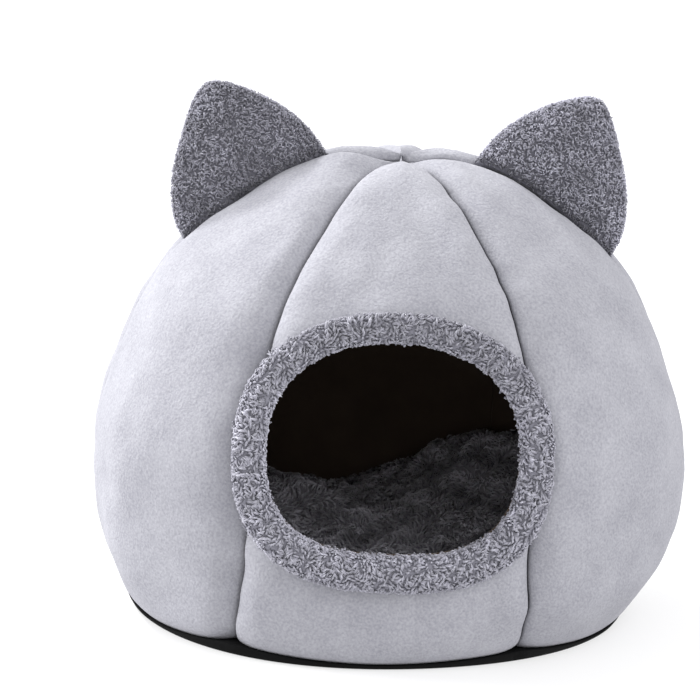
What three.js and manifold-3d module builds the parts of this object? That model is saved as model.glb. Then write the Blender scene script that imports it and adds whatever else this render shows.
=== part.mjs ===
// Cat house: a padded dome of six sewn panels with two stuffed ears, an oval door edged with plush,
// a dark inner cloth, a filled floor cushion and a black base cloth.
// Millimetres, +Z up. The door faces -Y and the origin is the middle of the underside of the base.
// Azimuths are in degrees from -Y towards +X.
import * as THREE from 'three';
import { mergeVertices } from 'three/addons/utils/BufferGeometryUtils.js';
import Module from 'manifold-3d';

const wasm = await Module();
wasm.setup();

// Driving dimensions
const clearance = 0.3; // between pieces that touch
const wallThickness = 15; // outer cloth and foam of a panel
const liningThickness = 1.6;

const dome = {
  // The outside from the floor up: the mean radius at each height, 400 mm across at the widest
  sections: [
    { height: 0, radius: 166 },
    { height: 45, radius: 188 },
    { height: 90, radius: 195 },
    { height: 135, radius: 193 },
    { height: 180, radius: 179 },
    { height: 220, radius: 159 },
    { height: 255, radius: 129 },
    { height: 285, radius: 89 },
    { height: 305, radius: 47 },
    { height: 314, radius: 0 },
  ],
  // How the plan leaves a circle: fuller to the front, a little narrow in depth, blunt front corners
  planWaves: [
    { waves: 1, share: 0.056 },
    { waves: 2, share: -0.019 },
    { waves: 3, share: -0.022 },
  ],
  // Where the wall stands in from that plan, or out from it: flat below the door, set a little askew
  // on the floor, with the left of the foot further forward than the right, and full under the ears
  pressed: [
    { azimuth: 0, share: 0.067, halfAngle: 45, height: 80, spread: 45 },
    { azimuth: 54, share: 0.055, halfAngle: 42, height: 0, spread: 28 },
    { azimuth: -24, share: -0.06, halfAngle: 32, height: 0, spread: 32 },
    { azimuth: 85, share: -0.042, halfAngle: 50, height: 243, spread: 54 },
    { azimuth: -85, share: -0.042, halfAngle: 50, height: 250, spread: 50 },
  ],
  // How far the top is pushed up beside the ears, from outside a circle round the tips
  crown: { azimuths: [85, -85], rise: 5, halfAngle: 50, height: 300, spread: 25, circle: 45 },
  leanBack: 9, // how far the top stands behind the middle of the base
  bodyHeight: 120, // the height towards which the wall thickness is measured
  plumbHeight: 15, // below this the wall thickness is level
  topHole: 1.6, // radius left open where the six panel tips meet
};

const seam = {
  depth: 6.5, // how far a panel's edge is drawn in
  reach: 20, // how far from the seam the drawing-in ends
  fullness: 2.2, // higher makes the valley sharper
  // The seams beside the front panel stand this many degrees further apart at the floor
  flare: { degrees: 4, azimuth: 30, height: 110 },
};

const panels = [
  { name: 'front', from: -31, to: 27.5 },
  { name: 'front_right', from: 27.5, to: 86.5 },
  { name: 'back_right', from: 86.5, to: 150 },
  { name: 'back', from: 150, to: 212 },
  { name: 'back_left', from: 212, to: 275 },
  { name: 'front_left', from: 275, to: 329 },
];
const panelColumns = [0, 0.025, 0.075, 0.2, 0.35, 0.5, 0.65, 0.8, 0.925, 0.975, 1];
const liningColumns = [0, 0.2, 0.5, 0.8, 1];
const panelRows = 14;

const base = {
  sheet: 2.4, // thickness of the cloth under the cushion
  rimLow: 3.2, // height of its turned-up rim at the middle of a panel
  rimHigh: 8.7, // and at a seam, where the panels' corners are rounded off
  rimFall: 1.6, // higher keeps the rim low for longer
  rimRound: 0.7, // the rim's upper edge is rounded by this much
  // The lower edge is rounded under: height and how far in
  underRound: [{ height: 0.01, inset: 2.2 }, { height: 0.9, inset: 0.5 }],
};

const door = {
  middle: new THREE.Vector3(-5, -165.5, 145.5), // in the plane where the plush edge meets the wall
  tilt: 10, // degrees that the plane leans back
  clearWidth: 163,
  clearHeight: 136,
  squareTop: 2.2, // 2 is an ellipse, more is squarer
  squareBottom: 2.7,
  bandWidth: 22.5,
  bandDrop: 2, // the band is this much wider at the bottom and narrower at the top
  proudTop: 10,
  proudSides: 12.5,
  proudBottom: 17,
  pressed: 0.7, // share by which the wall is pressed back to the plane within the band
  turnIn: 3.5, // thickness of the band where it turns through the wall
  flap: 24, // how far behind the plane the band ends, before it is cut along the wall's inner face
  rollSquare: 0.8, // 1 makes the roll's section a half ellipse, less is squarer
  rollTurns: [0, 22, 45, 68, 90, 112, 135, 158, 180], // degrees round the roll
  depth: 60, // cutters reach this far either side of the plane
  steps: 44,
};

const ear = {
  // The ear's edge, from its root near the top of the dome, over the tip, to its root at the side
  edge: [
    { along: -5, up: -26 },
    { along: -5, up: 0 },
    { along: -3, up: 23 },
    { along: 5, up: 46 },
    { along: 20, up: 69 },
    { along: 37, up: 85 },
    { along: 52, up: 83 },
    { along: 74, up: 65 },
    { along: 94, up: 44 },
    { along: 107, up: 21 },
    { along: 110, up: 0 },
    { along: 108, up: -26 },
  ],
  innerRoot: { radius: 53, height: 303 },
  outerRoot: { radius: 144, height: 244 },
  lean: 21, // degrees that the ear leans back
  frontFill: 24,
  backFill: 15,
  softEdge: 36, // distance from the edge at which the filling is full
  alongSteps: 22,
  rows: [0, 0.3, 0.55, 0.75, 0.9, 0.97, 1], // shares of the way from the foot to the edge
};

const cushion = {
  gap: 3.6, // to the lining at its fullest
  rows: [
    { rise: 0, fill: 0.9 },
    { rise: 0.12, fill: 0.965 },
    { rise: 0.38, fill: 1 },
    { rise: 0.65, fill: 0.985 },
    { rise: 0.87, fill: 0.93 },
    { rise: 0.97, fill: 0.84 },
    { rise: 1, fill: 0.66 },
    { rise: 1, fill: 0.5 },
    { rise: 1, fill: 0.34 },
    { rise: 1, fill: 0.17 },
  ],
  height: 44,
  // Where the filling is pushed up or down: it rides up the wall at the back right
  lumps: [
    { x: 110, y: 130, height: 64, spread: 84 },
    { x: -85, y: 30, height: 26, spread: 50 },
    { x: -25, y: 30, height: 18, spread: 45 },
    { x: 10, y: -20, height: -6, spread: 55 },
    { x: -20, y: 110, height: -5, spread: 45 },
  ],
};

const cloth = {
  suede: { color: 0xb3b2bd, roughness: 0.9, metalness: 0 },
  plush: { color: 0x908f99, roughness: 1, metalness: 0 },
  darkPlush: { color: 0x74737d, roughness: 1, metalness: 0 },
  shortPlush: { color: 0x82818c, roughness: 1, metalness: 0 },
  lining: { color: 0x1f1814, roughness: 0.95, metalness: 0 },
  cushionPlush: { color: 0x3d3c42, roughness: 1, metalness: 0 },
  nonSlip: { color: 0x0c0c0e, roughness: 0.8, metalness: 0 },
};

// The door's plane

const doorTilt = THREE.MathUtils.degToRad(door.tilt);
const doorUp = new THREE.Vector3(0, Math.sin(doorTilt), Math.cos(doorTilt));
const doorOut = new THREE.Vector3(0, -Math.cos(doorTilt), Math.sin(doorTilt));

// The dome's outside

const profile = new THREE.SplineCurve(
  dome.sections.map(({ height, radius }) => new THREE.Vector2(radius, height)),
);
const domeHeight = dome.sections.at(-1).height;

// The step along the profile where a test that holds at the bottom stops holding
function lastStep(holds) {
  let low = 0;
  let high = 1;
  for (let halving = 0; halving < 30; halving += 1) {
    const middle = (low + high) / 2;
    if (holds(profile.getPoint(middle))) {
      low = middle;
    } else {
      high = middle;
    }
  }
  return low;
}

const stepAtHeight = (height) => lastStep((point) => point.y < height);
const topStep = lastStep((point) => point.x > dome.topHole);

// How near a point of the wall is to the middle of a patch of it, from 0 to 1
function nearness(azimuth, height, middle, patch) {
  const turned = THREE.MathUtils.euclideanModulo(azimuth - middle + 180, 360) - 180;
  return Math.exp(-((turned / patch.halfAngle) ** 2) - ((height - patch.height) / patch.spread) ** 2);
}

function planFactor(azimuth, height) {
  const pressed = dome.pressed.reduce(
    (sum, patch) => sum + patch.share * nearness(azimuth, height, patch.azimuth, patch),
    0,
  );
  const wave = dome.planWaves.reduce(
    (sum, { waves, share: part }) => sum + part * Math.cos(THREE.MathUtils.degToRad(waves * azimuth)),
    1,
  );
  return wave * (1 - pressed);
}

// The dome's middle line at a height, which leans back towards the top
function middleAt(height) {
  return new THREE.Vector3(0, dome.leanBack * (height / domeHeight) ** 2, height);
}

// How far the top is pushed up at a point of the profile
function crownRise(azimuth, { x: radius, y: height }) {
  const { azimuths, rise, circle } = dome.crown;
  const near = azimuths.reduce((sum, middle) => sum + nearness(azimuth, height, middle, dome.crown), 0);
  return rise * near * THREE.MathUtils.smoothstep(radius, 0, circle);
}

// Radius and height of a point that lies a given depth under the dome's outside
function under(azimuth, step, depth) {
  const section = profile.getPoint(step);
  const radius = section.x * planFactor(azimuth, section.y);
  const level = THREE.MathUtils.smoothstep(section.y, dome.plumbHeight, dome.bodyHeight);
  const rise = (dome.bodyHeight - section.y) * level;
  const share = depth / Math.hypot(radius, rise);
  const height = section.y + rise * share + crownRise(azimuth, section);
  return { radius: radius * (1 - share), height, outsideHeight: section.y };
}

function roundPoint(azimuth, step, depth) {
  const { radius, height, outsideHeight } = under(azimuth, step, depth);
  const angle = THREE.MathUtils.degToRad(azimuth);
  const middle = middleAt(outsideHeight);
  return new THREE.Vector3(
    middle.x + radius * Math.sin(angle),
    middle.y - radius * Math.cos(angle),
    height,
  );
}

// The same, where the wall round the door is pressed back towards the door's plane
function domePoint(azimuth, step, depth) {
  const proud = roundPoint(azimuth, step, 0).sub(door.middle).dot(doorOut);
  return roundPoint(azimuth, step, depth).addScaledVector(doorOut, -door.pressed * Math.max(0, proud));
}

// The azimuth that a panel's own azimuth is drawn to, low down beside the front panel
function flaredAzimuth(azimuth, step) {
  const { degrees, azimuth: most, height } = seam.flare;
  const low = Math.max(0, 1 - profile.getPoint(step).y / height) ** 2;
  const turned = (THREE.MathUtils.euclideanModulo(azimuth + 180, 360) - 180) / most;
  return azimuth + degrees * low * turned * Math.exp((1 - turned ** 2) / 2);
}

// A panel's own point: share runs from one seam to the next, and half the clearance is kept at each
function panelPoint(panel, share, step, depth, drawnIn) {
  const span = panel.to - panel.from;
  const { radius } = under(panel.from + span * share, step, depth);
  const spare = THREE.MathUtils.radToDeg(Math.asin(clearance / 2 / radius));
  const azimuth = panel.from + spare + (span - 2 * spare) * share;
  const fromSeam = radius * THREE.MathUtils.degToRad(span) * Math.min(share, 1 - share);
  const valley = seam.depth * Math.max(0, 1 - fromSeam / seam.reach) ** seam.fullness;
  return domePoint(flaredAzimuth(azimuth, step), step, depth + (drawnIn ? valley : 0));
}

const rimHeight = (share) =>
  base.rimLow + (base.rimHigh - base.rimLow) * Math.abs(2 * share - 1) ** base.rimFall;

// Closed meshes

function geometryFrom(points, corners) {
  const geometry = new THREE.BufferGeometry();
  const numbers = points.flatMap((p) => [p.x, p.y, p.z]);
  geometry.setAttribute('position', new THREE.Float32BufferAttribute(numbers, 3));
  geometry.setIndex(corners);
  return mergeVertices(geometry, 1e-4);
}

// A solid between two grids of points with the same rows and columns
function slab(outside, inside) {
  const rows = outside.length;
  const columns = outside[0].length;
  const points = [...outside.flat(), ...inside.flat()];
  const outer = (row, column) => row * columns + column;
  const inner = (row, column) => rows * columns + outer(row, column);
  const corners = [];
  const quad = (a, b, c, d) => corners.push(a, b, c, a, c, d);
  for (let row = 0; row < rows - 1; row += 1) {
    for (let column = 0; column < columns - 1; column += 1) {
      quad(outer(row, column), outer(row, column + 1), outer(row + 1, column + 1), outer(row + 1, column));
      quad(inner(row, column), inner(row + 1, column), inner(row + 1, column + 1), inner(row, column + 1));
    }
    const last = columns - 1;
    quad(inner(row, 0), outer(row, 0), outer(row + 1, 0), inner(row + 1, 0));
    quad(outer(row, last), inner(row, last), inner(row + 1, last), outer(row + 1, last));
  }
  for (let column = 0; column < columns - 1; column += 1) {
    const last = rows - 1;
    quad(outer(0, column + 1), outer(0, column), inner(0, column), inner(0, column + 1));
    quad(outer(last, column), outer(last, column + 1), inner(last, column + 1), inner(last, column));
  }
  return withoutSlivers(geometryFrom(points, corners));
}

// Drops the faces that merging the vertices has closed up
function withoutSlivers(geometry) {
  const index = geometry.index.array;
  const kept = [];
  for (let i = 0; i < index.length; i += 3) {
    const [a, b, c] = index.slice(i, i + 3);
    if (a !== b && b !== c && c !== a) {
      kept.push(a, b, c);
    }
  }
  geometry.setIndex(kept);
  return geometry;
}

// A solid of level rings from the bottom up, closed by a fan at each end
function stack(rings) {
  const count = rings[0].length;
  const middleOf = (ring) => ring.reduce((sum, p) => sum.add(p), new THREE.Vector3()).divideScalar(count);
  const points = [...rings.flat(), middleOf(rings[0]), middleOf(rings.at(-1))];
  const lowest = rings.length * count;
  const top = (rings.length - 1) * count;
  const corners = [];
  for (let i = 0; i < count; i += 1) {
    const next = (i + 1) % count;
    corners.push(lowest, next, i, lowest + 1, top + i, top + next);
    for (let ring = 0; ring < top; ring += count) {
      corners.push(ring + i, ring + next, ring + count + next);
      corners.push(ring + i, ring + count + next, ring + count + i);
    }
  }
  return withoutSlivers(geometryFrom(points, corners));
}

// A solid ring of closed sections
function hoop(sections) {
  const around = sections[0].length;
  const count = sections.length;
  const corners = [];
  for (let i = 0; i < count; i += 1) {
    for (let j = 0; j < around; j += 1) {
      const here = i * around;
      const there = ((i + 1) % count) * around;
      const next = (j + 1) % around;
      corners.push(here + j, there + j, there + next);
      corners.push(here + j, there + next, here + next);
    }
  }
  return geometryFrom(sections.flat(), corners);
}

// Cutting, with the closed mesh turned into a solid and back

function toSolid(geometry) {
  const vertProperties = new Float32Array(geometry.attributes.position.array);
  const triVerts = new Uint32Array(geometry.index.array);
  return new wasm.Manifold(new wasm.Mesh({ numProp: 3, vertProperties, triVerts }));
}

function toGeometry(solid) {
  const { vertProperties, triVerts } = solid.getMesh();
  const geometry = new THREE.BufferGeometry();
  geometry.setAttribute('position', new THREE.BufferAttribute(new Float32Array(vertProperties), 3));
  geometry.setIndex(new THREE.BufferAttribute(new Uint32Array(triVerts), 1));
  return geometry;
}

const cut = (geometry, ...cutters) =>
  toGeometry(cutters.reduce((solid, cutter) => solid.subtract(cutter), toSolid(geometry)));

// All the columns of the six panels, going round the dome
const around = panels.flatMap((panel) => panelColumns.map((share) => ({ panel, share })));

// The space that the dome fills, as far as a given depth under its outside
function domeBlock(depth, drawnIn) {
  const rings = [];
  for (let row = 0; row <= panelRows; row += 1) {
    const point = ({ panel, share }) => panelPoint(panel, share, rowStep(row, share), depth, drawnIn);
    rings.push(around.map(point));
  }
  return toSolid(stack(rings));
}

// The step of a row in a column: the lowest row follows the base's rim
function rowStep(row, share) {
  const lowest = stepAtHeight(rimHeight(share) + clearance);
  return lowest + (topStep - lowest) * (row / panelRows);
}

// Points in the door's plane

const doorPoint = (across, up, out) =>
  new THREE.Vector3(across, 0, 0).add(door.middle).addScaledVector(doorUp, up).addScaledVector(doorOut, out);

// A point of the door's oval, grown outwards in its plane
function ovalPoint(angle, grow) {
  const square = Math.sin(angle) > 0 ? door.squareTop : door.squareBottom;
  const rounded = (value, power) => Math.sign(value) * Math.abs(value) ** power;
  const oval = new THREE.Vector2(
    (door.clearWidth / 2) * rounded(Math.cos(angle), 2 / square),
    (door.clearHeight / 2) * rounded(Math.sin(angle), 2 / square),
  );
  const outward = new THREE.Vector2(
    rounded(Math.cos(angle), 2 - 2 / square) / door.clearWidth,
    rounded(Math.sin(angle), 2 - 2 / square) / door.clearHeight,
  ).normalize();
  return oval.addScaledVector(outward, grow);
}

// An oval cutter through the front, as much larger than the clear door as is given
function doorCutter(grow) {
  const ring = (out) =>
    Array.from({ length: door.steps }, (_, i) => {
      const { x, y } = ovalPoint((i / door.steps) * 2 * Math.PI, grow);
      return doorPoint(x, y, out);
    });
  return toSolid(stack([ring(-door.depth), ring(door.depth)]));
}

// Pieces

const house = new THREE.Group();

function addPiece(name, geometry, finish) {
  const mesh = new THREE.Mesh(geometry, new THREE.MeshStandardMaterial(finish));
  mesh.name = name;
  house.add(mesh);
}

const panelGrid = (panel, columns, depth, drawnIn) =>
  Array.from({ length: panelRows + 1 }, (_, row) =>
    columns.map((share) => panelPoint(panel, share, rowStep(row, share), depth, drawnIn)));

function addPanels() {
  const opening = doorCutter(door.turnIn + clearance);
  panels.forEach((panel) => {
    const outside = panelGrid(panel, panelColumns, 0, true);
    const wall = slab(outside, panelGrid(panel, panelColumns, wallThickness, false));
    addPiece(`panel_${panel.name}`, panel.name === 'front' ? cut(wall, opening) : wall, cloth.suede);
  });
}

// The dark inner cloth stands just inside the wall, down to the base cloth
function addLining() {
  const opening = doorCutter(clearance);
  const near = wallThickness + clearance;
  const side = (panel, depth) => {
    const grid = panelGrid(panel, liningColumns, depth, false);
    const lowest = stepAtHeight(base.sheet + clearance);
    grid[0] = liningColumns.map((share) => panelPoint(panel, share, lowest, depth, false));
    return grid;
  };
  panels.forEach((panel) => {
    const sheet = slab(side(panel, near), side(panel, near + liningThickness));
    addPiece(`lining_${panel.name}`, panel.name === 'front' ? cut(sheet, opening) : sheet, cloth.lining);
  });
}

// The band's section at an angle round the door: a soft roll in front of the wall,
// and a flap that turns through the opening to the wall's inner face
function bandSection(angle) {
  const up = Math.sin(angle);
  const width = door.bandWidth - door.bandDrop * up;
  const proudEnd = up > 0 ? door.proudTop : door.proudBottom;
  const proud = door.proudSides + (proudEnd - door.proudSides) * up ** 2;
  const roll = door.rollTurns.map((turn) => {
    const bend = THREE.MathUtils.degToRad(turn);
    const soft = (value) => Math.sign(value) * Math.abs(value) ** door.rollSquare;
    return { grow: (width / 2) * (1 + soft(Math.cos(bend))), out: proud * soft(Math.sin(bend)) };
  });
  const back = [0, door.turnIn, width].map((grow) => ({ grow, out: -door.flap }));
  return [...roll, ...back].map(({ grow, out }) => {
    const { x, y } = ovalPoint(angle, grow);
    return doorPoint(x, y, out);
  });
}

function addDoorBand() {
  const sections = Array.from({ length: door.steps }, (_, i) => bandSection((i / door.steps) * 2 * Math.PI));
  const wall = domeBlock(-clearance, true).subtract(doorCutter(door.turnIn));
  const cabin = domeBlock(wallThickness, false);
  addPiece('door_band', cut(hoop(sections), wall, cabin), cloth.plush);
}

// One half of an ear, which meets the other at the edge seam
function earHalf(azimuth, fill) {
  const angle = THREE.MathUtils.degToRad(azimuth);
  const side = Math.sign(azimuth);
  const outwards = new THREE.Vector3(Math.sin(angle), -Math.cos(angle), 0);
  const forwards = new THREE.Vector3(-Math.cos(angle), -Math.sin(angle), 0).multiplyScalar(side);
  const rootAt = ({ radius, height }) => middleAt(height).addScaledVector(outwards, radius);
  const innerRoot = rootAt(ear.innerRoot);
  const along = rootAt(ear.outerRoot).sub(innerRoot).normalize();
  const upright = forwards.clone().cross(along).multiplyScalar(side);
  const lean = THREE.MathUtils.degToRad(ear.lean);
  const up = upright.clone().multiplyScalar(Math.cos(lean)).addScaledVector(forwards, -Math.sin(lean));
  const front = forwards.clone().multiplyScalar(Math.cos(lean)).addScaledVector(upright, Math.sin(lean));

  const edge = new THREE.SplineCurve(ear.edge.map((p) => new THREE.Vector2(p.along, p.up)));
  const edgePoints = edge.getPoints(4 * ear.alongSteps);
  const fullness = (point) => {
    const fromEdge = Math.min(...edgePoints.map((p) => p.distanceTo(point)));
    return Math.sqrt(1 - (1 - Math.min(1, fromEdge / ear.softEdge)) ** 2);
  };
  const foot = ear.edge[0].up;
  const start = ear.edge[0].along;
  const end = ear.edge.at(-1).along;
  const gap = (Math.sign(fill) * clearance) / 2;
  const grid = (raised) =>
    ear.rows.map((row) =>
      Array.from({ length: ear.alongSteps + 1 }, (_, column) => {
        const share = column / ear.alongSteps;
        const root = new THREE.Vector2(start + (end - start) * share, foot);
        const flat = edge.getPoint(share).lerp(root, 1 - row);
        const onEdge = row === 1 || column === 0 || column === ear.alongSteps;
        const out = raised && !onEdge ? fill * fullness(flat) : 0;
        return innerRoot.clone().addScaledVector(along, flat.x).addScaledVector(up, flat.y)
          .addScaledVector(front, out + gap);
      }));
  return fill * side > 0 ? slab(grid(true), grid(false)) : slab(grid(false), grid(true));
}

function addEars() {
  const space = domeBlock(-clearance, true);
  [{ name: 'right', azimuth: 86.5 }, { name: 'left', azimuth: -85 }].forEach(({ name, azimuth }) => {
    addPiece(`ear_${name}_front`, cut(earHalf(azimuth, ear.frontFill), space), cloth.darkPlush);
    addPiece(`ear_${name}_back`, cut(earHalf(azimuth, -ear.backFill), space), cloth.shortPlush);
  });
}

function addBase() {
  const ring = (heightAt, depth) =>
    around.map(({ panel, share }) => panelPoint(panel, share, stepAtHeight(heightAt(share)), depth, false));
  const rings = [
    ...base.underRound.map(({ height, inset }) => ring(() => height, inset)),
    ring((share) => rimHeight(share) - base.rimRound, 0),
    ring(rimHeight, base.rimRound),
    ring(rimHeight, wallThickness),
    ring(() => base.sheet, wallThickness),
  ];
  rings[0].forEach((point) => point.setZ(0));
  addPiece('base', stack(rings), cloth.nonSlip);
}

function cushionHeight(x, y) {
  return cushion.lumps.reduce((sum, lump) => {
    const away = Math.hypot(x - lump.x, y - lump.y) / lump.spread;
    return sum + lump.height * Math.exp(-(away ** 2));
  }, cushion.height);
}

function addCushion() {
  const depth = wallThickness + clearance + liningThickness + cushion.gap;
  const floor = base.sheet + clearance;
  const columns = around.filter(({ share }) => liningColumns.includes(share) && share > 0);
  const rings = cushion.rows.map(({ rise, fill }) =>
    columns.map(({ panel, share }) => {
      const reach = panelPoint(panel, share, stepAtHeight(floor + rise * cushion.height), depth, false);
      const plan = middleAt(reach.z).lerp(reach, fill);
      return plan.setZ(floor + rise * cushionHeight(plan.x, plan.y));
    }));
  addPiece('cushion', stack(rings), cloth.cushionPlush);
}

addPanels();
addLining();
addDoorBand();
addEars();
addBase();
addCushion();

export default house;
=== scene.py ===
import math

import bpy
import numpy as np
from mathutils import Matrix, Vector
from mathutils.bvhtree import BVHTree


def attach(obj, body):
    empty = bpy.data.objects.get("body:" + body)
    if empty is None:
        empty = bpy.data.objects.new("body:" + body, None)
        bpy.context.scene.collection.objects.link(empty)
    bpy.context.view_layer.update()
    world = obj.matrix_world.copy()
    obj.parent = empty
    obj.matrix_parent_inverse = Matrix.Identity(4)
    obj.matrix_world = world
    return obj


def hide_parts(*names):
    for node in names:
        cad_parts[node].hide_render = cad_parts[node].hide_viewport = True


# Cat house: a padded suedette dome with stuffed plush ears, a plush-edged door and a floor cushion.
# Shapes are worked out in millimetres, as they were sewn, and turned to metres when a mesh is made.
# The door faces -Y, the floor is z = 0 and azimuths run in degrees from -Y towards +X.

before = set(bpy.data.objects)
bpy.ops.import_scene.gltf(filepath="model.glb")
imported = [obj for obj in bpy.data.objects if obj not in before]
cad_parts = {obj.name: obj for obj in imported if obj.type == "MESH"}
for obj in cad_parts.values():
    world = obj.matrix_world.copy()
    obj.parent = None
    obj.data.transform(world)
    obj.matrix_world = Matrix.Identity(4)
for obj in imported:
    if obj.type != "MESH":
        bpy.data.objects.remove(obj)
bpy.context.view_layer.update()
millimetresPerMetre = 1000
metresPerMillimetre = 1 / millimetresPerMetre


# Small helpers

def linear(hexColour):  # sRGB hex to the linear colour that the shaders take
    channels = [int(hexColour[i:i + 2], 16) / 255 for i in (0, 2, 4)]
    return tuple(c / 12.92 if c <= 0.04045 else ((c + 0.055) / 1.055) ** 2.4 for c in channels) + (1.0,)


def addNode(tree, kind, settings=None, links=None):
    node = tree.nodes.new(kind)
    for name, value in (settings or {}).items():
        if isinstance(name, int) or name in node.inputs:
            node.inputs[name].default_value = value
        else:
            setattr(node, name, value)
    for name, source in (links or {}).items():
        tree.links.new(source, node.inputs[name])
    return node


def unit(vectors):
    return vectors / np.maximum(np.linalg.norm(vectors, axis=-1, keepdims=True), 1e-9)


def towards(azimuth, elevation):  # the way out to an azimuth and an elevation in degrees
    turn, rise = math.radians(azimuth), math.radians(elevation)
    return Vector((math.sin(turn) * math.cos(rise), -math.cos(turn) * math.cos(rise), math.sin(rise)))


def smoothstep(low, high, value):
    t = np.clip((value - low) / (high - low), 0, 1)
    return t * t * (3 - 2 * t)


def within(reach, distance):  # 1 at no distance, falling evenly to 0 at the reach
    return np.clip(1 - distance / reach, 0, 1)


def bell(reach, distance):  # 1 at no distance, about a third at the reach and softly on to 0
    return np.exp(-(distance / reach) ** 2)


def swell(points, size, seed, waves=18):  # soft random swells about size apart, mean 0 and spread 1
    draw = np.random.default_rng(seed)
    ways = draw.normal(size=(waves, 3))
    ways /= np.linalg.norm(ways, axis=1)[:, None]
    turns = 2 * math.pi / (size * draw.uniform(0.7, 1.5, waves))
    shifts = draw.uniform(0, 2 * math.pi, waves)
    return np.cos(points @ (ways * turns[:, None]).T + shifts).sum(-1) * math.sqrt(2 / waves)


def shadeSmooth(mesh):
    mesh.polygons.foreach_set("use_smooth", np.ones(len(mesh.polygons), bool))


def makeMesh(name, points, faces):
    mesh = bpy.data.meshes.new(name)
    mesh.from_pydata((np.asarray(points) * metresPerMillimetre).tolist(), [], faces)
    mesh.validate()
    shadeSmooth(mesh)
    piece = bpy.data.objects.new(name, mesh)
    bpy.context.scene.collection.objects.link(piece)
    return piece


def gridFaces(rows, columns, start=0, flip=False, closed=False):
    faces = []
    for row in range(rows - 1):
        for column in range(columns if closed else columns - 1):
            after = (column + 1) % columns
            low, high = start + row * columns, start + (row + 1) * columns
            face = (low + column, low + after, high + after, high + column)
            faces.append(face[::-1] if flip else face)
    return faces


def slab(name, outside, inside):  # a closed sheet between two grids of the same size
    rows, columns = outside.shape[:2]
    count = rows * columns
    faces = gridFaces(rows, columns) + gridFaces(rows, columns, count, flip=True)
    for row in range(rows - 1):
        left, right = row * columns, row * columns + columns - 1
        faces.append((count + left, left, left + columns, count + left + columns))
        faces.append((right, count + right, count + right + columns, right + columns))
    for column in range(columns - 1):
        top = (rows - 1) * columns + column
        faces.append((column + 1, column, count + column, count + column + 1))
        faces.append((top, top + 1, count + top + 1, count + top))
    return makeMesh(name, np.concatenate([outside.reshape(-1, 3), inside.reshape(-1, 3)]), faces)


def stack(name, rings):  # a closed solid of rings from the bottom up, with a fan at each end
    rings = np.asarray(rings)
    levels, count = rings.shape[:2]
    points = np.concatenate([rings.reshape(-1, 3), [rings[0].mean(0), rings[-1].mean(0)]])
    faces = gridFaces(levels, count, closed=True)
    low, high, top = levels * count, levels * count + 1, (levels - 1) * count
    for i in range(count):
        after = (i + 1) % count
        faces.append((low, after, i))
        faces.append((high, top + i, top + after))
    return makeMesh(name, points, faces)


def cutAway(piece, *cutters):
    for cutter in cutters:
        cut = piece.modifiers.new("cut", "BOOLEAN")
        cut.operation, cut.solver, cut.object = "DIFFERENCE", "EXACT", cutter
    seen = piece.evaluated_get(bpy.context.evaluated_depsgraph_get())
    mesh = bpy.data.meshes.new_from_object(seen)
    piece.modifiers.clear()
    piece.data = mesh
    shadeSmooth(mesh)


def finishPiece(piece, material, slot, *nodes):
    piece.data.materials.clear()
    piece.data.materials.append(material)
    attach(piece, "root")
    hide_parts(*nodes)


# Camera, in metres and degrees: a little left of the door, 13 degrees above it and held slightly tilted

shot = {
    "target": Vector((0, 0, 0.151)),
    "distance": 2.5,
    "azimuth": -3.4,
    "elevation": 13.33,
    "roll": 3.1,
    "lens": 188,
    "clip": (0.1, 60),
    "aimRight": -0.0273,  # the camera aims left of the target by this, so it shows right of the middle
    "aimUp": 0.0218,  # and above it by this
}


def addCamera():
    turn, roll = math.radians(shot["azimuth"]), math.radians(shot["roll"])
    back = towards(shot["azimuth"], shot["elevation"])
    right = Vector((math.cos(turn), math.sin(turn), 0))
    up = back.cross(right)
    rolledRight = right * math.cos(roll) + up * math.sin(roll)
    rolledUp = up * math.cos(roll) - right * math.sin(roll)
    place = shot["target"] + back * shot["distance"]
    aim = shot["target"] + rolledRight * shot["aimRight"] + rolledUp * shot["aimUp"]
    outward = (place - aim).normalized()
    across = rolledUp.cross(outward).normalized()
    camera = bpy.data.objects.new("camera", bpy.data.cameras.new("camera"))
    camera.data.lens = shot["lens"]
    camera.data.clip_start, camera.data.clip_end = shot["clip"]
    turned = Matrix((across, outward.cross(across), outward)).transposed().to_4x4()
    camera.matrix_world = Matrix.Translation(place) @ turned
    bpy.context.scene.collection.objects.link(camera)
    bpy.context.scene.camera = camera


addCamera()
print("camera set")


# Dome: where its outside lies

dome = {
    "sections": np.array([  # mean radius and height from the floor up
        (166, 0), (188, 45), (195, 90), (193, 135), (179, 180),
        (159, 220), (129, 255), (89, 285), (47, 305), (0, 314),
    ], float),
    "planWaves": {1: 0.056, 2: -0.019, 3: -0.022},  # fuller to the front, narrow in depth, blunt corners
    "pressed": [  # flat below the door, the foot set a little askew, and full under the ears
        {"azimuth": 0, "share": 0.067, "halfAngle": 45, "height": 80, "spread": 45},
        {"azimuth": 54, "share": 0.055, "halfAngle": 42, "height": 0, "spread": 28},
        {"azimuth": -24, "share": -0.06, "halfAngle": 32, "height": 0, "spread": 32},
        {"azimuth": 85, "share": -0.042, "halfAngle": 50, "height": 243, "spread": 54},
        {"azimuth": -85, "share": -0.042, "halfAngle": 50, "height": 250, "spread": 50},
    ],
    "crown": [  # pushed up beside the ears
        {"azimuth": 85, "rise": 5, "halfAngle": 50, "height": 300, "spread": 25, "circle": 45},
        {"azimuth": -85, "rise": 5, "halfAngle": 50, "height": 300, "spread": 25, "circle": 45},
    ],
    "leanBack": 9,  # the top stands this far behind the middle of the floor
    "bodyHeight": 120,  # depths are measured towards this height on the axis
    "plumbHeight": 15,  # and level below this one
    "topHole": 1.6,
    "wall": 15,
    "clearance": 0.3,  # between pieces that are sewn together
    "block": {"columns": 22, "rows": 30},  # of the plain solids that other pieces are cut with
}
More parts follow.
